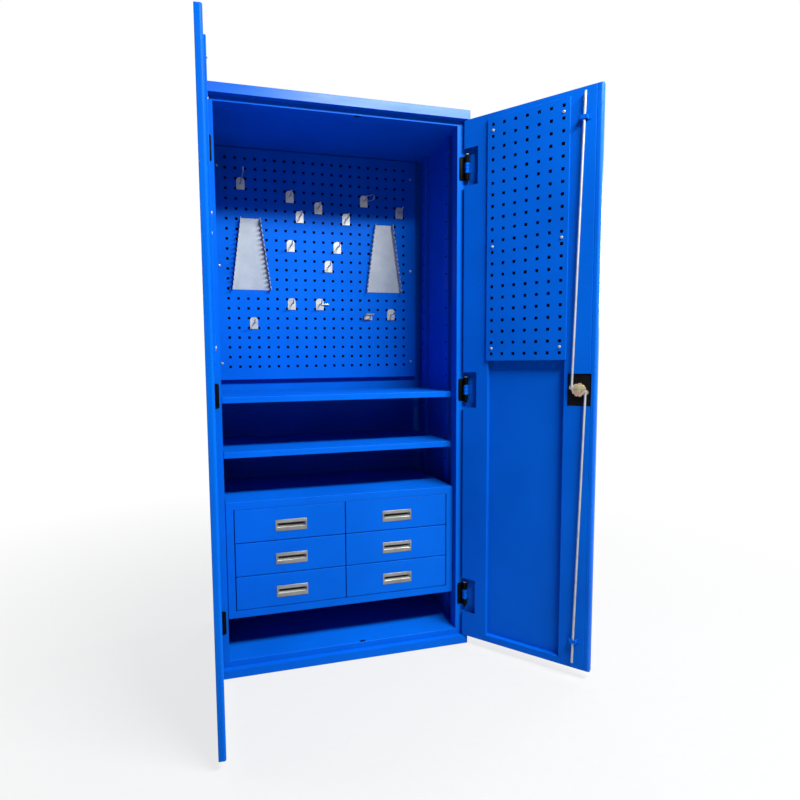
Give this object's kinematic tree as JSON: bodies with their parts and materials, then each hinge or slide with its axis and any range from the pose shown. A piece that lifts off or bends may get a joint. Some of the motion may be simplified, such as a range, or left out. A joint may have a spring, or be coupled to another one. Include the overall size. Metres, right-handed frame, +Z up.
{
  "type": "tool cabinet",
  "caption": "Tall steel tool cabinet with two hinged doors, a perforated tool panel with hooks, shelves, drawers and a turn lock that drives two rods.",
  "frame": {"origin": "on the floor, in the middle of the plinth's footprint", "axes": "+X to the right seen from the front, +Y from the doors to the back, +Z up"},
  "size_m": [1.1883, 0.8811, 1.9],
  "materials": {
    "blue_coat": "satin powder coat",
    "zinc": "bright zinc plate",
    "grey_coat": "satin powder coat",
    "black_coat": "satin black",
    "black_plastic": "moulded",
    "yellow_zinc": "yellow zinc plate",
    "pull_metal": "satin"
  },
  "bodies": {
    "cabinet": {"base_plinth": "blue_coat", "floor_pan": "blue_coat", "ceiling_pan": "blue_coat", "top_cap": "blue_coat", "left_side_panel": "blue_coat", "right_side_panel": "blue_coat", "back_panel": "blue_coat", "shelf_uprights": "blue_coat", "tool_panel": "blue_coat", "tool_panel_screws": "zinc", "left_spanner_rack": "grey_coat", "right_spanner_rack": "grey_coat", "hook_plates": "zinc", "hook_prongs": "zinc", "tool_ring": "zinc", "upper_shelf": "blue_coat", "lower_shelf": "blue_coat", "shelf_clips": "blue_coat", "drawer_housing": "blue_coat", "drawer_divider": "blue_coat", "drawer_runners": "blue_coat", "hinge_fixed_leaves": "black_coat", "hinge_pins": "zinc"},
    "left_door": {"left_door_skin": "blue_coat", "left_door_inner_frame": "blue_coat", "left_door_perforated_panel": "blue_coat", "left_door_panel_screws": "zinc", "left_door_hinge_leaves": "blue_coat"},
    "right_door": {"right_door_skin": "blue_coat", "right_door_inner_frame": "blue_coat", "right_door_perforated_panel": "blue_coat", "right_door_panel_screws": "zinc", "right_door_hinge_leaves": "blue_coat", "rod_guides": "blue_coat", "lock_housing": "black_plastic"},
    "lock": {"turn_handle": "black_plastic", "lock_cam": "yellow_zinc", "cam_nut": "zinc"},
    "upper_rod": {"upper_lock_rod": "zinc"},
    "lower_rod": {"lower_lock_rod": "zinc"},
    "lower_left_drawer": {"lower_left_drawer_front": "blue_coat", "lower_left_drawer_tray": "blue_coat", "lower_left_drawer_pull": "pull_metal"},
    "middle_left_drawer": {"middle_left_drawer_front": "blue_coat", "middle_left_drawer_tray": "blue_coat", "middle_left_drawer_pull": "pull_metal"},
    "upper_left_drawer": {"upper_left_drawer_front": "blue_coat", "upper_left_drawer_tray": "blue_coat", "upper_left_drawer_pull": "pull_metal"},
    "lower_right_drawer": {"lower_right_drawer_front": "blue_coat", "lower_right_drawer_tray": "blue_coat", "lower_right_drawer_pull": "pull_metal"},
    "middle_right_drawer": {"middle_right_drawer_front": "blue_coat", "middle_right_drawer_tray": "blue_coat", "middle_right_drawer_pull": "pull_metal"},
    "upper_right_drawer": {"upper_right_drawer_front": "blue_coat", "upper_right_drawer_tray": "blue_coat", "upper_right_drawer_pull": "pull_metal"}
  },
  "joints": [
    {"name": "left_door_hinge", "type": "hinge", "parent": "cabinet", "child": "left_door", "pos_m": [-0.443, -0.215, 0.95], "axis": [0, 0, -1], "range_deg": [-91.1, 43.9]},
    {"name": "right_door_hinge", "type": "hinge", "parent": "cabinet", "child": "right_door", "pos_m": [0.443, -0.215, 0.95], "axis": [0, 0, 1], "range_deg": [-128.9, 6.1]},
    {"name": "lock_turn", "type": "hinge", "parent": "right_door", "child": "lock", "pos_m": [0.67838, -0.52582, 0.94791], "axis": [-0.7782, -0.628, 0], "range_deg": [-90, 0]},
    {"name": "upper_rod_pivot", "type": "hinge", "parent": "lock", "child": "upper_rod", "pos_m": [0.65995, -0.51412, 0.95543], "axis": [-0.7782, -0.628, 0], "range_deg": [0, 93]},
    {"name": "lower_rod_pivot", "type": "hinge", "parent": "lock", "child": "lower_rod", "pos_m": [0.68591, -0.5463, 0.94039], "axis": [-0.7782, -0.628, 0], "range_deg": [0, 93]},
    {"name": "lower_left_drawer_slide", "type": "slide", "parent": "cabinet", "child": "lower_left_drawer", "axis": [0, -1, 0], "range_m": [0, 0.3]},
    {"name": "middle_left_drawer_slide", "type": "slide", "parent": "cabinet", "child": "middle_left_drawer", "axis": [0, -1, 0], "range_m": [0, 0.3]},
    {"name": "upper_left_drawer_slide", "type": "slide", "parent": "cabinet", "child": "upper_left_drawer", "axis": [0, -1, 0], "range_m": [0, 0.3]},
    {"name": "lower_right_drawer_slide", "type": "slide", "parent": "cabinet", "child": "lower_right_drawer", "axis": [0, -1, 0], "range_m": [0, 0.3]},
    {"name": "middle_right_drawer_slide", "type": "slide", "parent": "cabinet", "child": "middle_right_drawer", "axis": [0, -1, 0], "range_m": [0, 0.3]},
    {"name": "upper_right_drawer_slide", "type": "slide", "parent": "cabinet", "child": "upper_right_drawer", "axis": [0, -1, 0], "range_m": [0, 0.3]}
  ],
  "couplings": [
    {"joint": "upper_rod_pivot", "follows": "lock_turn", "ratio": -1.022},
    {"joint": "lower_rod_pivot", "follows": "lock_turn", "ratio": -1.022}
  ]
}
